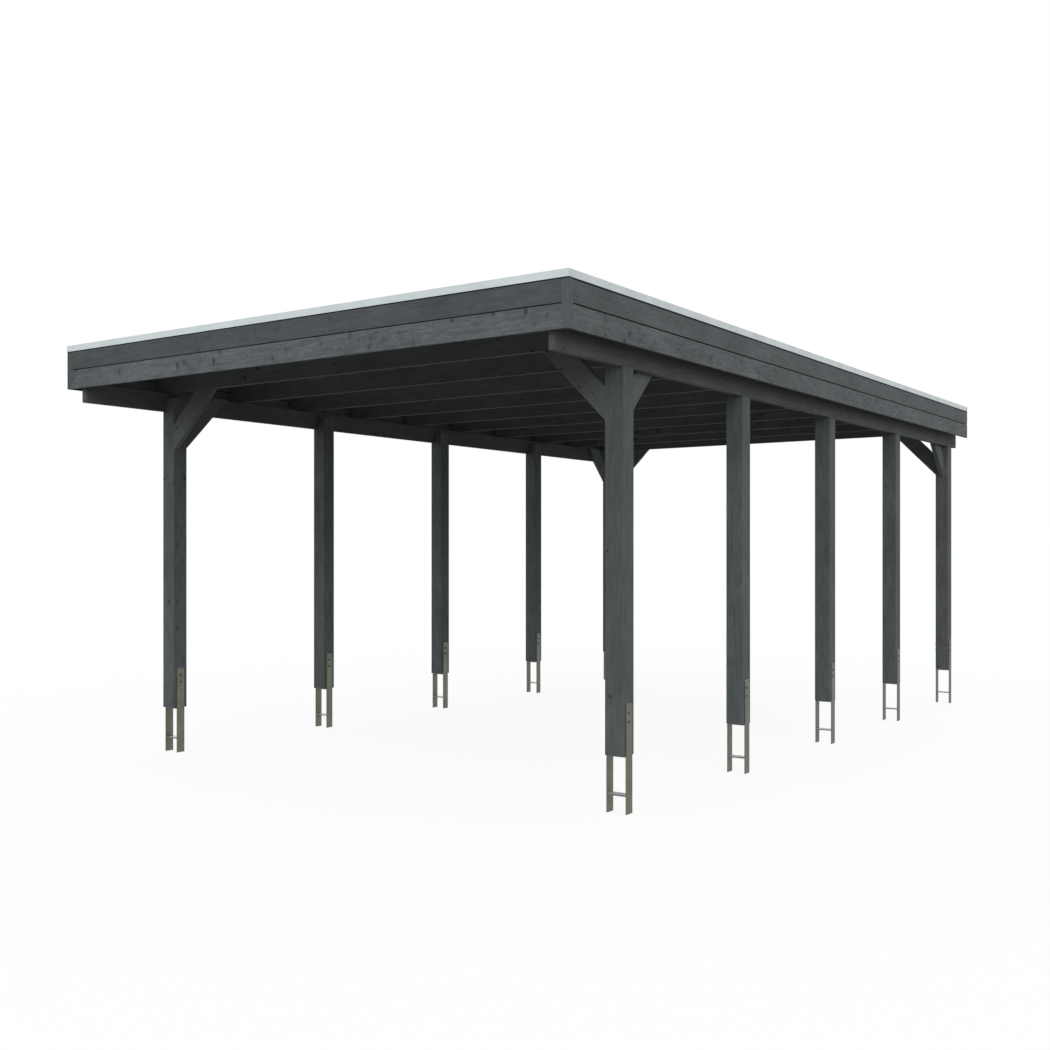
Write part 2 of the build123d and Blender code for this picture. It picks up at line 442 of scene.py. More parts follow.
def cover_with_marks(tree, colour, thick, marks):
    """The colour, moved towards each mark's own colour by mark * its share, in turn."""
    for mark, (share, mark_colour) in {"bend": (BEND_COVERS, thick), **MARKS_OVER}.items():
        factor = add(tree, "Math", {0: marks[mark], 1: share}, out=0, operation="MULTIPLY")
        sockets = {"Factor": factor, FIRST: colour, SECOND: linear(mark_colour)}
        colour = add(tree, "Mix", sockets, **COLOURS)
    return colour


print("marks over the stain:", ", ".join(MARKS_OVER))

# %% [markdown]
# Stain soaks in and leaves hardly any film, so it is dull, with a low specular
# level. Late wood and fibres stand a little proud, and the cracks are cut in,
# which a bump shows well enough at half a millimetre.

# %% The stained spruce
STAIN_SHEEN = 0.10
DULLNESS = (0.56, 0.90)  # roughness, from the glossiest fibres to the dullest
KNOT_SMOOTHER = -0.14
RELIEF = {"fibres": 0.5, "crack": -1.6}
LATE_PROUD = 0.35


def stained_spruce(name, grain, thin, thick, wood, seams=()):
    """Stained spruce with its grain one way. wood holds its knots and its mottle.

    Height = LATE_PROUD * late wood + RELIEF * fibres and cracks.
    """
    material, tree, surface = new_material(name)
    marks = all_marks(tree, grain, wood, seams)
    colour = stain_colour(tree, thin, thick, marks, wood["mottle"])
    colour = cover_with_marks(tree, colour, thick, marks)
    tree.links.new(colour, surface.inputs["Base Color"])

    sockets = {"Value": marks["fibres"], "To Min": DULLNESS[0], "To Max": DULLNESS[1]}
    dull = add(tree, "MapRange", sockets, out="Result")
    sockets = {0: marks["knot"], 1: KNOT_SMOOTHER, 2: dull}
    dull = add(tree, "Math", sockets, out=0, operation="MULTIPLY_ADD")
    tree.links.new(dull, surface.inputs["Roughness"])
    surface.inputs["IOR"].default_value = 1.5
    surface.inputs["Specular IOR Level"].default_value = STAIN_SHEEN

    height = add(tree, "Math", {0: marks["late"], 1: LATE_PROUD}, out=0, operation="MULTIPLY")
    for mark, weight in RELIEF.items():
        sockets = {0: marks[mark], 1: weight, 2: height}
        height = add(tree, "Math", sockets, out=0, operation="MULTIPLY_ADD")
    normal = add(tree, "Bump", {"Strength": 0.7, "Distance": 0.0005, "Height": height}, out="Normal")
    tree.links.new(normal, surface.inputs["Normal"])
    return material


print("stained spruce is", DULLNESS[0], "to", DULLNESS[1], "rough")

# %% [markdown]
# ### Spruce for each kind of piece
#
# The timbers of the frame are straight-grained with a few small knots. The
# lower fascia board is a knotty, cloudy plank and the upper one a clearer
# plank. The gap between knots, the radius of the largest and the blur of their
# rims are in metres.

# %% Three sorts of wood
TIMBER = {"gap": 0.052, "largest": 0.0120, "stretch": 1.2, "blur": 0.006, "mottle": 0.08, "curl": 0.8}
KNOTTY_BOARD = {"gap": 0.046, "largest": 0.0140, "stretch": 1.5, "blur": 0.011, "mottle": 0.19, "curl": 2.4}
CLEAR_BOARD = {"gap": 0.068, "largest": 0.0135, "stretch": 1.3, "blur": 0.008, "mottle": 0.10, "curl": 1.2}
print("largest knots", [2000 * wood["largest"] for wood in (TIMBER, KNOTTY_BOARD, CLEAR_BOARD)], "mm wide")

# %% [markdown]
# Each kind of timber gets its own pair of stain colours, thin and thick,
# because they were not all dipped in the same bath. A knee brace needs a
# material for each of the four ways it can lean.

# %% The spruce of the frame
post_spruce = stained_spruce("planed spruce post, grey stain", "upright", "#5f6566", "#4b5051", TIMBER)
purlin_spruce = stained_spruce("planed spruce purlin, grey stain", "lengthwise", "#595d5d", "#484c4c", TIMBER)
rafter_spruce = stained_spruce("planed spruce rafter, grey stain", "across", "#555758", "#434546", TIMBER)
brace_spruce = {
    way: stained_spruce(f"planed spruce brace, grey stain, {way}", way, "#666b6b", "#555a5a", TIMBER)
    for way in ("rising_right", "rising_left", "rising_back", "rising_front")
}
print("spruce for", 3 + len(brace_spruce), "kinds of timber")

# %% [markdown]
# The fascia's boards come in four tones. The square battens at its front
# corners each match the boards beside them, and share the painted shadow under the trim.

# %% The spruce of the fascia
fascia_spruce = {}
# the last of each row is its band of painted shade: the groove for the lower boards, the shadow under the
# trim for the upper
for boards, grain, thin, thick, wood, seam in (
    ("front_lower", "across", "#6a7074", "#54595c", KNOTTY_BOARD, groove["front"]),
    ("front_upper", "across", "#585c5f", "#4b4f51", CLEAR_BOARD, painted_shadow_under_trim["front"]),
    ("side_lower", "lengthwise", "#656a6c", "#505456", KNOTTY_BOARD, groove["side"]),
    ("side_upper", "lengthwise", "#5e6365", "#505456", CLEAR_BOARD, painted_shadow_under_trim["side"]),
):
    made = stained_spruce(f"spruce board, grey stain, {boards}", grain, thin, thick, wood, [seam])
    for place in ("left", "right") if boards.startswith("side") else ("front",):
        fascia_spruce[f"fascia_{place}_{boards.split('_')[1]}"] = made

for corner, thin, thick in (("left", "#555a5c", "#4d5153"), ("right", "#5f6466", "#565a5c")):
    name = f"clear spruce batten, {corner}"
    made = stained_spruce(name, "upright", thin, thick, CLEAR_BOARD, [painted_shadow_under_trim["front"]])
    fascia_spruce[f"corner_batten_{corner}"] = made
print("spruce for the boards", ", ".join(fascia_spruce))

# %% [markdown]
# ## Galvanised steel
#
# The anchors are flat steel bars dipped in molten zinc. Zinc freezes in
# crystals a centimetre or so across, the spangle, which weathers to a dull
# grey with a green cast. Cells of a Voronoi pattern, each with its own
# brightness and gloss, are just that. The faces that look up are painted
# much lighter, a painted highlight for the light that falls on them from above.

# %% Crystals and bloom
BLOOM = {"Scale": 9.0, "Detail": 5.0, "Roughness": 0.6}  # dull clouds about 110 mm across
CRYSTAL_SHOWS, BLOOM_SHOWS = 0.18, 0.9


def spangled(tree, place, crystal):
    """Each crystal's own grey, and BLOOM_SHOWS * bloom + CRYSTAL_SHOWS * grey.

    The crystals are as wide as crystal says, in metres.
    """
    sockets = {"Vector": place, "Scale": 1 / crystal, "Randomness": 1.0}
    spangle = add(tree, "TexVoronoi", sockets, out="Color")
    grey = add(tree, "SeparateColor", {"Color": spangle}, out="Red")
    bloom = add(tree, "TexNoise", {"Vector": place, **BLOOM}, out="Fac")
    mixed = add(tree, "Math", {0: grey, 1: CRYSTAL_SHOWS}, out=0, operation="MULTIPLY")
    mixed = add(tree, "Math", {0: bloom, 1: BLOOM_SHOWS, 2: mixed}, out=0, operation="MULTIPLY_ADD")
    return grey, mixed


print("bloom shows", BLOOM_SHOWS / CRYSTAL_SHOWS, "times as much as the crystals")

# %% [markdown]
# The colour runs from dark to bright zinc with that pattern, then to a painted
# highlight on faces that look up, nearly white on the anchors. Where the zinc is brighter it
# is also rougher, and a fine grit and the crystals' steps give it a little relief.

# %% Galvanised steel
DARK_TO_BRIGHT = (0.30, 0.80)
LOOKS_UP = (0.6, 0.9)  # the upward part of a face's direction, from no painted highlight to the full painted highlight
ZINC_ROUGHNESS = (0.39, 0.62)
GRIT = {"Scale": 420.0, "Detail": 2.0}  # waves in a metre, so they are 2.4 mm apart
CRYSTAL_STEP = 0.3


def galvanised_steel(name, dark, bright, highlight_from_above, crystal):
    """Weathered zinc, dark to bright by its pattern, with a painted highlight where the face looks up."""
    material, tree, surface = new_material(name)
    place = add(tree, "TexCoord", out="Object")
    grey, mixed = spangled(tree, place, crystal)
    sockets = {"Value": mixed, "From Min": DARK_TO_BRIGHT[0], "From Max": DARK_TO_BRIGHT[1]}
    amount = add(tree, "MapRange", sockets, out="Result")
    colour = add(tree, "Mix", {"Factor": amount, FIRST: linear(dark), SECOND: linear(bright)}, **COLOURS)

    face = add(tree, "NewGeometry", out="True Normal")
    highlight_share = add(tree, "SeparateXYZ", {"Vector": face}, out="Z")
    sockets = {"Value": highlight_share, "From Min": LOOKS_UP[0], "From Max": LOOKS_UP[1]}
    highlight_share = add(tree, "MapRange", sockets, out="Result")
    colour = add(tree, "Mix", {"Factor": highlight_share, FIRST: colour, SECOND: linear(highlight_from_above)}, **COLOURS)
    tree.links.new(colour, surface.inputs["Base Color"])

    sockets = {"Value": mixed, "To Min": ZINC_ROUGHNESS[0], "To Max": ZINC_ROUGHNESS[1]}
    tree.links.new(add(tree, "MapRange", sockets, out="Result"), surface.inputs["Roughness"])
    surface.inputs["Metallic"].default_value = 1.0
    grit = add(tree, "TexNoise", {"Vector": place, **GRIT}, out="Fac")
    height = add(tree, "Math", {0: grey, 1: CRYSTAL_STEP, 2: grit}, out=0, operation="MULTIPLY_ADD")
    normal = add(tree, "Bump", {"Strength": 0.25, "Distance": 0.0003, "Height": height}, out="Normal")
    tree.links.new(normal, surface.inputs["Normal"])
    return material


anchor_name = "hot-dip galvanised steel, weathered"
# the third colour of each is the painted highlight on faces that look up, strong on the anchors and faint on
# the bolts
zinc_anchor = galvanised_steel(anchor_name, "#62655b", "#7d8073", "#dfe7ec", 0.011)
zinc_bolt = galvanised_steel("zinc-plated steel", "#65685e", "#7f8277", "#868b86", 0.004)
print("metals:", zinc_anchor.name, "and", zinc_bolt.name)

# %% [markdown]
# ## Rolled aluminium
#
# The trim and the roof sheets are rolled aluminium. The rolls leave faint
# lines along the length, which are a noise drawn out that way. Air leaves dull
# clouds on the trim, which are a broad noise with no direction, and on the
# roof the rain draws them out into streaks that run to the open back.

# %% Rolled aluminium
ROLLED_LINES = {"across": (3.0, 700.0, 700.0), "lengthwise": (700.0, 3.0, 700.0)}  # waves in a metre
LINES_SHOW = 0.35
BROAD = {"Scale": 1.0, "Detail": 6.0, "Roughness": 0.62}
SHINIER, DULLER = -0.05, 0.08


def rolled_aluminium(name, along, bright, dull, roughness, clouds, cloud_size):
    """Rolled sheet, bright to dull by LINES_SHOW * rolled lines + clouds * a broad noise,
    whose waves have that size in metres along X, Y and Z."""
    material, tree, surface = new_material(name)
    place = add(tree, "TexCoord", out="Object")
    drawn_out = add(tree, "VectorMath", {0: place, 1: ROLLED_LINES[along]}, out=0, operation="MULTIPLY")
    lines = add(tree, "TexNoise", {"Vector": drawn_out, "Scale": 1.0, "Detail": 2.0}, out="Fac")
    in_clouds = add(tree, "VectorMath", {0: place, 1: cloud_size}, out=0, operation="DIVIDE")
    broad = add(tree, "TexNoise", {"Vector": in_clouds, **BROAD}, out="Fac")
    mixed = add(tree, "Math", {0: lines, 1: LINES_SHOW}, out=0, operation="MULTIPLY")
    mixed = add(tree, "Math", {0: broad, 1: clouds, 2: mixed}, out=0, operation="MULTIPLY_ADD")
    whole = LINES_SHOW + clouds
    sockets = {"Value": mixed, "From Min": CLOUD_NOISE[0] * whole, "From Max": CLOUD_NOISE[1] * whole}
    amount = add(tree, "MapRange", sockets, out="Result")
    colour = add(tree, "Mix", {"Factor": amount, FIRST: linear(bright), SECOND: linear(dull)}, **COLOURS)
    tree.links.new(colour, surface.inputs["Base Color"])

    sockets = {"Value": amount, "To Min": roughness + SHINIER, "To Max": roughness + DULLER}
    tree.links.new(add(tree, "MapRange", sockets, out="Result"), surface.inputs["Roughness"])
    surface.inputs["Metallic"].default_value = 1.0
    normal = add(tree, "Bump", {"Strength": 0.2, "Distance": 0.0002, "Height": lines}, out="Normal")
    tree.links.new(normal, surface.inputs["Normal"])
    return material


print("rolled lines about", round(1000 / ROLLED_LINES["across"][1], 1), "mm apart")

# %% [markdown]
# The front trim is painted a shade lighter and the side ones a shade darker,
# painted light and shade on the same aluminium. The front trim's rolled lines
# run across the carport. The roof sheets are duller and streaked.

# %% Trim and roof sheets
TRIM_CLOUDS = (0.2, 0.2, 0.2)
RAIN_STREAKS = (0.05, 1.10, 0.05)
# lit and shaded copies of one aluminium: painted light on the front trim, painted shade on the side ones
lit_front_trim = rolled_aluminium(
    "aluminium trim, front, painted lighter", "across", "#d5dddf", "#c2cbcd", 0.42, 0.5, TRIM_CLOUDS
)
shaded_side_trim = rolled_aluminium(
    "aluminium trim, side, painted darker", "lengthwise", "#cad2d3", "#b4bcbd", 0.42, 0.5, TRIM_CLOUDS
)
roof_sheet = rolled_aluminium(
    "aluminium roof sheet", "lengthwise", "#c6cbcd", "#9ca2a4", 0.36, 1.1, RAIN_STREAKS
)
print("rolled:", lit_front_trim.name, "/", shaded_side_trim.name, "/", roof_sheet.name)

# %% [markdown]
# ## Dressing the solids
#
# Planed timber never has a knife edge: its arrises are eased by a plane or by
# sandpaper, and they catch a thin line of light. The loaded solids are loose
# triangles, so a Weld joins them before a Bevel rounds the sharp edges, both
# as modifiers that leave the mesh itself alone. The trim gets only a touch,
# and the roof sheets none.

# %% Ease the edges
SAME_POINT = 0.00005
SHARP = 40  # degrees between two faces


def ease(node, width):
    """Weld the loose triangles, then round each sharp edge in two steps of this width."""
    weld = node.modifiers.new("join_triangles", "WELD")
    weld.merge_threshold = SAME_POINT
    bevel = node.modifiers.new("eased_edges", "BEVEL")
    bevel.width = width
    bevel.segments = 2
    bevel.limit_method = "ANGLE"
    bevel.angle_limit = math.radians(SHARP)
    bevel.harden_normals = False


print("edges over", SHARP, "degrees are eased")

# %% [markdown]
# Each solid's name says what it is, so the name is enough to choose its
# material and how much its edges are eased.

# %% Hand out the materials
CRISP, TOUCHED, EASED = 0.0005, 0.0006, 0.003  # widths of the eased edges in metres


def finish_of(name):
    """The material and the width of the eased edge for a solid, by its name."""
    if name in fascia_spruce:
        return fascia_spruce[name], CRISP
    if name.startswith("brace_cross_"):
        return brace_spruce["rising_right" if name.endswith("left") else "rising_left"], EASED
    if name.startswith("brace_length_"):
        return brace_spruce["rising_back" if "front" in name else "rising_front"], EASED
    by_start = {
        "post_": (post_spruce, TOUCHED),
        "anchor_": (zinc_anchor, TOUCHED),
        "purlin_": (purlin_spruce, EASED),
        "rafters": (rafter_spruce, EASED),
        "edge_trim_front": (lit_front_trim, CRISP),
        "edge_trim_": (shaded_side_trim, CRISP),
        "roof_sheets": (roof_sheet, 0.0),
    }
    return next(finish for start, finish in by_start.items() if name.startswith(start))


for name, node in nodes.items():
    material, width = finish_of(name)
    node.data.materials.clear()
    node.data.materials.append(material)
    if width:
        ease(node, width)
print("dressed", len(nodes), "solids")

# %% [markdown]
# ## Screws and bolts
#
# Each post is bolted between the two bars of its anchor by two M8 bolts, with
# washers and nuts. The knee braces are screwed to the posts, rafters and
# purlins, the purlins to the posts, the fascia boards to the rafter ends, and
# the roof sheets to the rafters through their crests.
#
# A head, nut or washer is a turned shape whose outline may be a hexagon. That
# is a surface of two parameters: the step along its outline in section, and
# the angle round its axis. One function works it out for all.


# %% Points of a turned head
def turned_points(rows, angles):
    """A ring of points for each row of the section, then its top and its foot on the axis.

    A row is (radius, height, how hexagonal from 0 to 1). At angle t the radius
    grows by hexagonal * (1 / cos(t folded to within 30 degrees) - 1), which is the
    outline of a hexagon with that radius to its flats.
    """
    t = np.linspace(0, 2 * np.pi, angles, endpoint=False)
    folded = np.mod(t + np.pi / 6, np.pi / 3) - np.pi / 6
    growth = 1 + rows[:, 2:3] * (1 / np.cos(folded) - 1)
    radius = rows[:, 0:1] * growth
    height = np.broadcast_to(rows[:, 1:2], radius.shape)
    rings = np.stack([radius * np.cos(t), radius * np.sin(t), height], axis=-1).reshape(-1, 3)
    tips = np.array([[0.0, 0.0, rows[-1, 1]], [0.0, 0.0, rows[0, 1]]])
    return np.vstack([rings, tips])


print("a hexagon's corners stand out", round(1 / math.cos(math.pi / 6), 3), "times as far as its flats")

# %% [markdown]
# The faces only need the numbers of their points. Between two rings each face
# has four corners: here, the next point round, and the two above them. At the
# top and the foot a fan of triangles closes the shape, so no seam or pole is
# left open, and the order of the corners makes every face look outwards.


# %% A turned head, round or hexagonal
def turned_head(section, angles):
    """Points, four-sided faces and triangles of a turned head on the axis +Z."""
    rows = np.array(section, float)
    row, col = np.meshgrid(np.arange(len(rows) - 1), np.arange(angles), indexing="ij")
    here, right = row * angles + col, row * angles + (col + 1) % angles
    quads = np.stack([here, right, right + angles, here + angles], axis=-1).reshape(-1, 4)
    last, count = (len(rows) - 1) * angles, len(rows) * angles
    around, following = np.arange(angles), (np.arange(angles) + 1) % angles
    top = np.stack([last + around, last + following, np.full(angles, count)], axis=-1)
    foot = np.stack([following, around, np.full(angles, count + 1)], axis=-1)
    return turned_points(rows, angles), quads, np.vstack([top, foot])


print("a ring of 12 points gives", len(turned_head([(1, 0, 0), (1, 1, 0)], 12)[1]), "faces to the next ring")

# %% [markdown]
# The sections of the heads are short lists of steps, from the foot up, with
# the sizes in metres that such fasteners have. An M8 head is 13 mm over its
# flats and 5.3 mm high, on a washer 16 mm wide and 1.6 mm thick. The bolt's
# end stands 5 mm out of its nut.

# %% Bolts and nuts
WASHER = [(0.0080, 0.0000, 0), (0.0080, 0.0014, 0), (0.0078, 0.0016, 0)]
HEAD = [(0.0065, 0.0016, 1), (0.0065, 0.0061, 1), (0.0061, 0.0069, 0.4)]
NUT = [(0.0065, 0.0016, 1), (0.0065, 0.0080, 1), (0.0061, 0.0088, 0.4)]
BOLT_END = [(0.0040, 0.0088, 0), (0.0040, 0.0132, 0), (0.0035, 0.0138, 0)]
BOLT_HEAD = turned_head([*WASHER, *HEAD], 24)
BOLT_NUT = turned_head([*WASHER, *NUT, *BOLT_END], 24)
print("a bolt head has", len(BOLT_HEAD[1]) + len(BOLT_HEAD[2]), "faces")

# %% [markdown]
# The wood screws have pan heads 9 mm wide, and those of the boards flat heads
# 7 mm wide, each with a small pit for its drive. A roof screw has a rubber and
# steel washer 16 mm wide under an 8 mm hexagon. The roof has the most screws,
# so theirs have few faces.

# %% Screws
PAN = [(0.0045, 0.0000, 0), (0.0044, 0.0010, 0), (0.0036, 0.0020, 0)]
PAN_DRIVE = [(0.0018, 0.0023, 1), (0.0014, 0.0010, 1)]
FLAT = [(0.0036, 0.0000, 0), (0.0035, 0.0004, 0)]
FLAT_DRIVE = [(0.0016, 0.0005, 1), (0.0013, -0.0006, 1)]
ROOF_WASHER = [(0.0080, 0.0000, 0), (0.0080, 0.0020, 0), (0.0050, 0.0030, 0)]
ROOF_HEXAGON = [(0.0040, 0.0032, 1), (0.0040, 0.0075, 1)]
SCREW_HEAD = turned_head([*PAN, *PAN_DRIVE], 18)
BOARD_SCREW = turned_head([*FLAT, *FLAT_DRIVE], 12)
ROOF_SCREW = turned_head([*ROOF_WASHER, *ROOF_HEXAGON], 12)
print("a roof screw has", len(ROOF_SCREW[1]) + len(ROOF_SCREW[2]), "faces")

# %% [markdown]
# The same head is needed at many places, turned many ways. Copies could be
# objects of their own, but a few hundred objects are a burden, so all copies
# of a kind are worked out at once as arrays and become one mesh. First comes
# the turn that takes a head's axis to the way that its screw points.

# %% Turn +Z towards a direction
STEEP = 0.9  # a direction steeper than this takes +X as its helper, the others +Z


def turns_towards(directions):
    """A turn for each direction, with columns (u, w, d) that take +X, +Y and +Z there.

    d is the direction, u is square to d and to a helper, and w is d x u.
    """
    d = directions / np.linalg.norm(directions, axis=1, keepdims=True)
    helper = np.where(np.abs(d[:, 2:3]) > STEEP, [[1.0, 0.0, 0.0]], [[0.0, 0.0, 1.0]])
    u = np.cross(helper, d)
    u = u / np.linalg.norm(u, axis=1, keepdims=True)
    return np.stack([u, np.cross(d, u), d], axis=-1)


print("a head on a wall facing +X turns by", turns_towards(np.array([[1.0, 0.0, 0.0]]))[0].tolist())

# %% [markdown]
# A point p of the head goes to place + turn p, for all points and all copies
# in one step, and each copy's faces count on from the points before it.


# %% Set out copies of a head
def set_out(name, head, places, directions):
    """One mesh of copies of a head: copy k has its axis along directions[k], at places[k]."""
    points, quads, triangles = head
    places = np.array(places, float)
    turns = turns_towards(np.broadcast_to(np.array(directions, float), places.shape))
    moved = (np.einsum("kij,pj->kpi", turns, points) + places[:, None, :]).reshape(-1, 3)
    step = (np.arange(len(places)) * len(points))[:, None, None]
    quads = (quads[None] + step).reshape(-1, 4)
    triangles = (triangles[None] + step).reshape(-1, 3)

    mesh = bpy.data.meshes.new(name)
    mesh.from_pydata(moved.tolist(), [], quads.tolist() + triangles.tolist())
    mesh.materials.append(zinc_bolt)
    mesh.update()
    piece = bpy.data.objects.new(name, mesh)
    bpy.context.scene.collection.objects.link(piece)
    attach(piece, "root")
    print(name, "-", len(places), "copies,", len(mesh.polygons), "faces")


# %% [markdown]
# ### Bolts of the anchors
#
# The fasteners' places come from the boxes of the solids they hold, so they
# stay put if a size of the carport changes. Each anchor has two bolts through
# both bars, one above the other, with the nuts on the inside.

# %% Ends and middles of the solids
X, Y, Z = 0, 1, 2
OUTWARD = {"left": -1, "right": 1}
POST_ROWS = range(1, 6)


def ends(name, axis, way=1):
    """A solid's two ends along an axis, in the order of +axis, or against it if way is -1."""
    return (low(name)[axis], high(name)[axis])[::way]


def middle(name, axis):
    """The middle of a solid's box along an axis."""
    return sum(ends(name, axis)) / 2


print("first post from", *np.round(ends("post_right_1", Y), 4), "m along the length")

# %% [markdown]
# Read in the order that points outwards, the ends of an anchor across the
# width are its inner and its outer bar, on the left as on the right.

# %% Bolts of the anchors
BOLT_DEPTHS = (0.050, 0.100)  # below the top of the bars

heads, nuts, head_ways, nut_ways = [], [], [], []
for side, sign in OUTWARD.items():
    for row in POST_ROWS:
        anchor = f"anchor_{side}_{row}"
        inner, outer = ends(anchor, X, sign)
        for depth in BOLT_DEPTHS:
            height = high(anchor)[Z] - depth
            heads.append((outer, middle(anchor, Y), height))
            nuts.append((inner, middle(anchor, Y), height))
            head_ways.append((sign, 0, 0))
            nut_ways.append((-sign, 0, 0))
set_out("anchor_bolt_heads", BOLT_HEAD, heads, head_ways)
set_out("anchor_bolt_nuts", BOLT_NUT, nuts, nut_ways)

# %% [markdown]
# ### Screws of the purlins
#
# Each post's inner cheek stands up behind the purlin, and four screws go
# through it into the purlin.

# %% Screws of the purlins
CHEEK_STEPS = (-0.032, 0.032)  # to either side of the post's middle
CHEEK_HEIGHTS = (0.028, 0.066)  # above the purlin's seat

cheek_screws, cheek_ways = [], []
for side, sign in OUTWARD.items():
    seat = low(f"purlin_{side}")[Z]
    for row in POST_ROWS:
        post = f"post_{side}_{row}"
        cheek = ends(post, X, sign)[0]
        for step in CHEEK_STEPS:
            for height in CHEEK_HEIGHTS:
                cheek_screws.append((cheek, middle(post, Y) + step, seat + height))
                cheek_ways.append((-sign, 0, 0))
set_out("purlin_screws", SCREW_HEAD, cheek_screws, cheek_ways)

# %% [markdown]
# ### Screws of the cross braces
#
# A cross brace has two screws near its foot and two near its top, all driven
# square to its lower edge, the first into the post and the others into the
# rafter. The braces rise at 45 degrees, so a step along the edge moves a screw
# by half the root of two as much, both sideways and up.

# %% Screws of the cross braces
HALF_ROOT = math.sqrt(0.5)
FOOT_SCREWS = (0.045, 0.085)  # along the lower edge from its foot
TOP_SCREWS = (0.035, 0.080)  # along the lower edge from its top

foot_screws, foot_ways, top_screws, top_ways = [], [], [], []
for side, sign in OUTWARD.items():
    for end in ("front", "back"):
        brace = f"brace_cross_{end}_{side}"
        tip, at_post = ends(brace, X, sign)
        foot, top = ends(brace, Z)
        y = middle(brace, Y)
        for along in FOOT_SCREWS:
            foot_screws.append((at_post - sign * along * HALF_ROOT, y, foot + along * HALF_ROOT))
            foot_ways.append((-sign * HALF_ROOT, 0, -HALF_ROOT))
        for along in TOP_SCREWS:
            top_screws.append((tip + sign * along * HALF_ROOT, y, top - along * HALF_ROOT))
            top_ways.append((-sign * HALF_ROOT, 0, -HALF_ROOT))
print(len(foot_screws), "foot screws and", len(top_screws), "top screws")

# %% [markdown]
# ### Screws of the length braces
#
# A length brace has the same screws at its foot, but at its top it laps over
# the purlin, so two screws go through its broad face. They lie on a slant, to
# keep clear of its ends.

# %% Screws of the length braces
LAP_SCREWS = ((0.130, 0.035), (0.185, 0.085))  # short of the tip, and below the top

for side, sign in OUTWARD.items():
    for end, lean in (("front", 1), ("back", -1)):
        brace = f"brace_length_{end}_{side}"
        at_post, tip = ends(brace, Y, lean)
        foot, top = ends(brace, Z)
        x = middle(brace, X)
        for along in FOOT_SCREWS:
            foot_screws.append((x, at_post + lean * along * HALF_ROOT, foot + along * HALF_ROOT))
            foot_ways.append((0, lean * HALF_ROOT, -HALF_ROOT))
        broad_face = ends(brace, X, sign)[0]
        for short_of_tip, drop in LAP_SCREWS:
            top_screws.append((broad_face, tip - lean * short_of_tip, top - drop))
            top_ways.append((-sign, 0, 0))
set_out("brace_foot_screws", SCREW_HEAD, foot_screws, foot_ways)
set_out("brace_top_screws", SCREW_HEAD, top_screws, top_ways)

# %% [markdown]
# ### Where the rafters and the crests lie
#
# The fascia boards are screwed to the ends of the rafters, and the roof sheets
# to their tops. The rafters share one mesh, and the different Y values of its
# points, in pairs, are their faces. The crests of the sheets on top are found
# the same way, from the X values of their highest points.

# %% Where the rafters and the crests lie
SAME_HEIGHT = 1e-4


def points_of(name):
    """All points of a solid, one row each."""
    points = np.empty(len(nodes[name].data.vertices) * 3, np.float32)
    nodes[name].data.vertices.foreach_get("co", points)
    return points.reshape(-1, 3)


def middles(values):
    """The middle of each pair of different values, in order: (v[0]+v[1])/2, (v[2]+v[3])/2 ..."""
    edges = np.unique(np.round(values, 4))
    return (edges[0::2] + edges[1::2]) / 2


rafter_lines = middles(points_of("rafters")[:, Y])
sheet_points = points_of("roof_sheets_over")
crest_top = sheet_points[:, Z].max()
highest = np.abs(sheet_points[:, Z] - crest_top) < SAME_HEIGHT
crests = middles(sheet_points[highest, X])
print(len(rafter_lines), "rafters and", len(crests), "crests")

# %% [markdown]
# ### Screws of the fascia
#
# Two screws, one in each board, stand above each other at each rafter's end.
# Along the front they go into the rafter behind it, seven pairs in all.

# %% Screws of the fascia
ABOVE_RAFTER_FOOT, ABOVE_GROOVE = 0.040, 0.030
FRONT_PAIRS = np.linspace(-1.80, 1.80, 7)
screw_heights = (low("rafters")[Z] + ABOVE_RAFTER_FOOT, groove_top + ABOVE_GROOVE)

board_screws, board_ways = [], []
for side, sign in OUTWARD.items():
    face = ends(f"fascia_{side}_lower", X, sign)[1]
    board_screws += [(face, y, height) for y in rafter_lines for height in screw_heights]
    board_ways += [(sign, 0, 0)] * (len(rafter_lines) * len(screw_heights))
front_face = low("fascia_front_lower")[Y]
board_screws += [(x, front_face, height) for x in FRONT_PAIRS for height in screw_heights]
board_ways += [(0, -1, 0)] * (len(FRONT_PAIRS) * len(screw_heights))
set_out("fascia_screws", BOARD_SCREW, board_screws, board_ways)

# %% [markdown]
# ### Screws of the roof sheets
#
# The crests found above are those of the two sheets that lap over the others.
# Every second one is screwed down to every rafter.

# %% Screws of the roof sheets
roof_places = [(x, y, crest_top) for x in crests[::2] for y in rafter_lines]
set_out("roof_sheet_screws", ROOF_SCREW, roof_places, (0, 0, 1))

# %% [markdown]
# ## The stage: a pale floor and plain soft light
#
# The carport stands on its own feet on a plain white floor, which fades into a
# white backdrop. What the camera sees of the floor is lifted towards white, so
# only a faint shadow stays on it, while the light that the floor throws up
# under the roof is that of plain pale concrete.

# %% Floor
FLOOR_REACH = 200.0
CORNERS = [(-1, -1, 0), (1, -1, 0), (1, 1, 0), (-1, 1, 0)]

mesh = bpy.data.meshes.new("floor")
mesh.from_pydata((np.array(CORNERS) * FLOOR_REACH).tolist(), [], [(0, 1, 2, 3)])
floor = bpy.data.objects.new("floor", mesh)
bpy.context.scene.collection.objects.link(floor)
print("floor reaches", FLOOR_REACH, "m each way")

# %% [markdown]
# Light Path tells a ray that the camera sends from one that carries light to
# the carport. Reflections and clear glass count with the camera, so that metal
# shows the same white round it.

# %% The floor's material
FLOOR_SEEN, FLOOR_LIFT = (0.09, 0.09, 0.09, 1), 0.90
FLOOR_LIT = (0.25, 0.238, 0.215, 1)


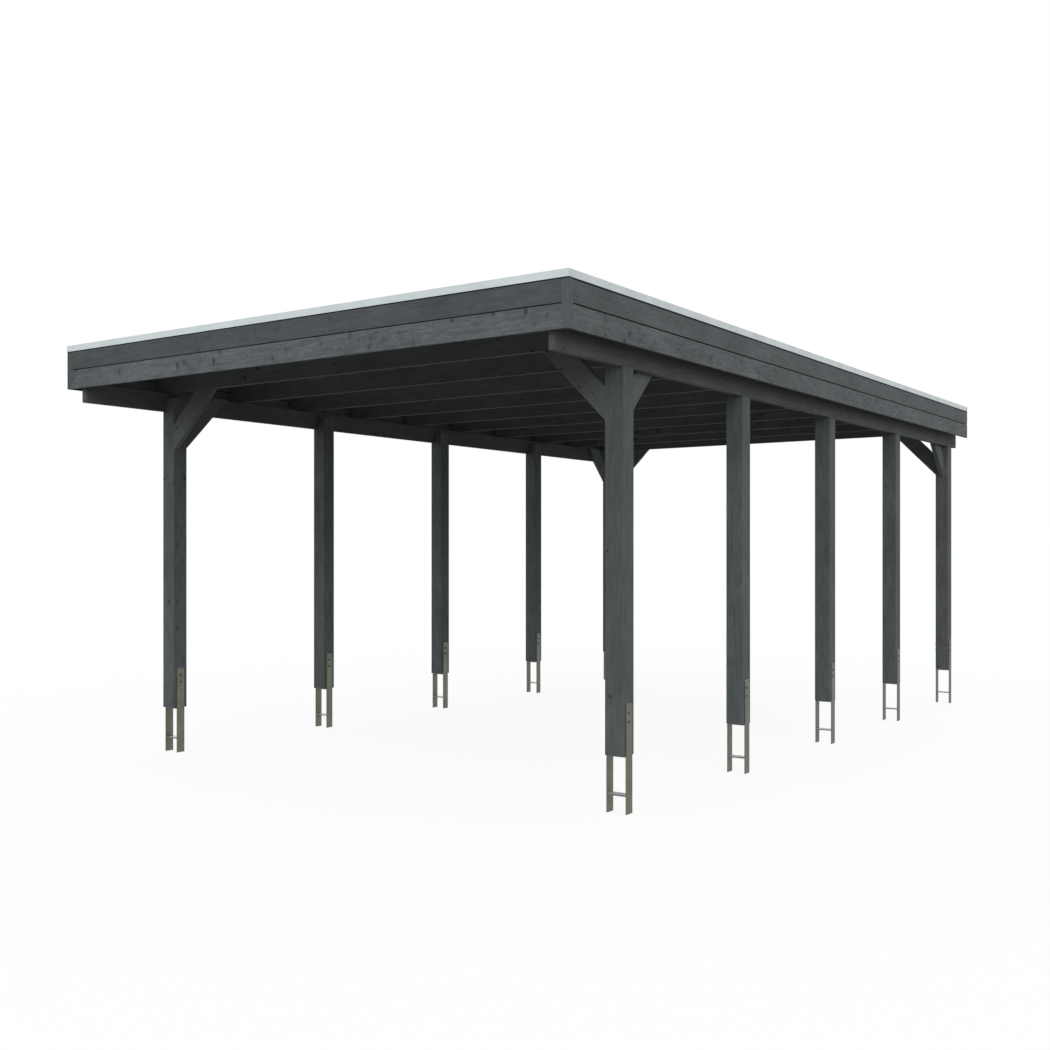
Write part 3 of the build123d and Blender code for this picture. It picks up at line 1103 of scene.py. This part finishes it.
def backdrop_rays(tree):
    """1 for what the camera, a reflection or clear glass sees, else 0."""
    rays = add(tree, "LightPath").outputs
    sockets = {0: rays["Is Camera Ray"], 1: rays["Is Glossy Ray"]}
    either = add(tree, "Math", sockets, out=0, operation="MAXIMUM")
    sockets = {0: either, 1: rays["Is Transmission Ray"]}
    return add(tree, "Math", sockets, out=0, operation="MAXIMUM")


floor_material, tree, surface = new_material("pale floor")
surface.inputs["Roughness"].default_value = 1.0
surface.inputs["Specular IOR Level"].default_value = 0.0
seen = backdrop_rays(tree)
colour = add(tree, "Mix", {"Factor": seen, FIRST: FLOOR_LIT, SECOND: FLOOR_SEEN}, **COLOURS)
tree.links.new(colour, surface.inputs["Base Color"])
surface.inputs["Emission Color"].default_value = (1, 1, 1, 1)
lift = add(tree, "Math", {0: seen, 1: FLOOR_LIFT}, out=0, operation="MULTIPLY")
tree.links.new(lift, surface.inputs["Emission Strength"])
floor.data.materials.append(floor_material)
print("floor lifted by", FLOOR_LIFT, "where the camera sees it")

# %% [markdown]
# The light comes evenly from the whole sky, as on an overcast day, so each
# colour looks about as it was mixed. A broad lamp from the right gives the
# timbers their shape without hard shadows.

# %% Sky and lamp
SKY_LIGHT = 0.95
LAMP_LIGHT = 1.0
LAMP_WIDTH = 50  # degrees of sky that it fills
LAMP_TILT, LAMP_TURN = 62, 38  # degrees from straight down, and round to the right

world = bpy.data.worlds.new("overcast sky")
bpy.context.scene.world = world
world.use_nodes = True
sky = world.node_tree
sky.nodes.clear()
sockets = {"Value": backdrop_rays(sky), "To Min": SKY_LIGHT, "To Max": 1.0}
strength = add(sky, "MapRange", sockets, out="Result")
background = add(sky, "Background", {"Color": (1, 1, 1, 1), "Strength": strength}, out=0)
add(sky, "OutputWorld", {"Surface": background})

lamp_data = bpy.data.lights.new("broad lamp from the right", "SUN")
lamp_data.energy = LAMP_LIGHT
lamp_data.angle = math.radians(LAMP_WIDTH)
lamp = bpy.data.objects.new("broad_lamp", lamp_data)
bpy.context.scene.collection.objects.link(lamp)
lamp.rotation_euler = (math.radians(LAMP_TILT), 0.0, math.radians(LAMP_TURN))
print("sky", SKY_LIGHT, "and lamp", LAMP_LIGHT)

# %% [markdown]
# ## The camera
#
# The viewer stands in front of the right-hand corner at eye height and looks
# level, so that the posts stay upright in the picture. The lens and the small
# upward shift frame the carport as in a catalogue.

# %% Camera
PICTURE = 1050.0  # pixels, as are the next two
FOCAL_LENGTH = 1235.53
HORIZON_ROW = 553.0
SENSOR = 36.0  # mm
EYE = (5.2624, -8.5844, 1.4181)
TURN = 34.77  # degrees to the left of straight back

camera_data = bpy.data.cameras.new("camera")
camera_data.sensor_width = SENSOR
camera_data.lens = FOCAL_LENGTH / PICTURE * SENSOR
camera_data.shift_y = (HORIZON_ROW - PICTURE / 2) / PICTURE
camera = bpy.data.objects.new("camera", camera_data)
bpy.context.scene.collection.objects.link(camera)
camera.location = EYE
camera.rotation_euler = (math.radians(90), 0.0, math.radians(TURN))
bpy.context.scene.camera = camera
bpy.context.scene.view_settings.view_transform = "Standard"
print("lens", round(camera_data.lens, 2), "mm, shift", round(camera_data.shift_y, 4))
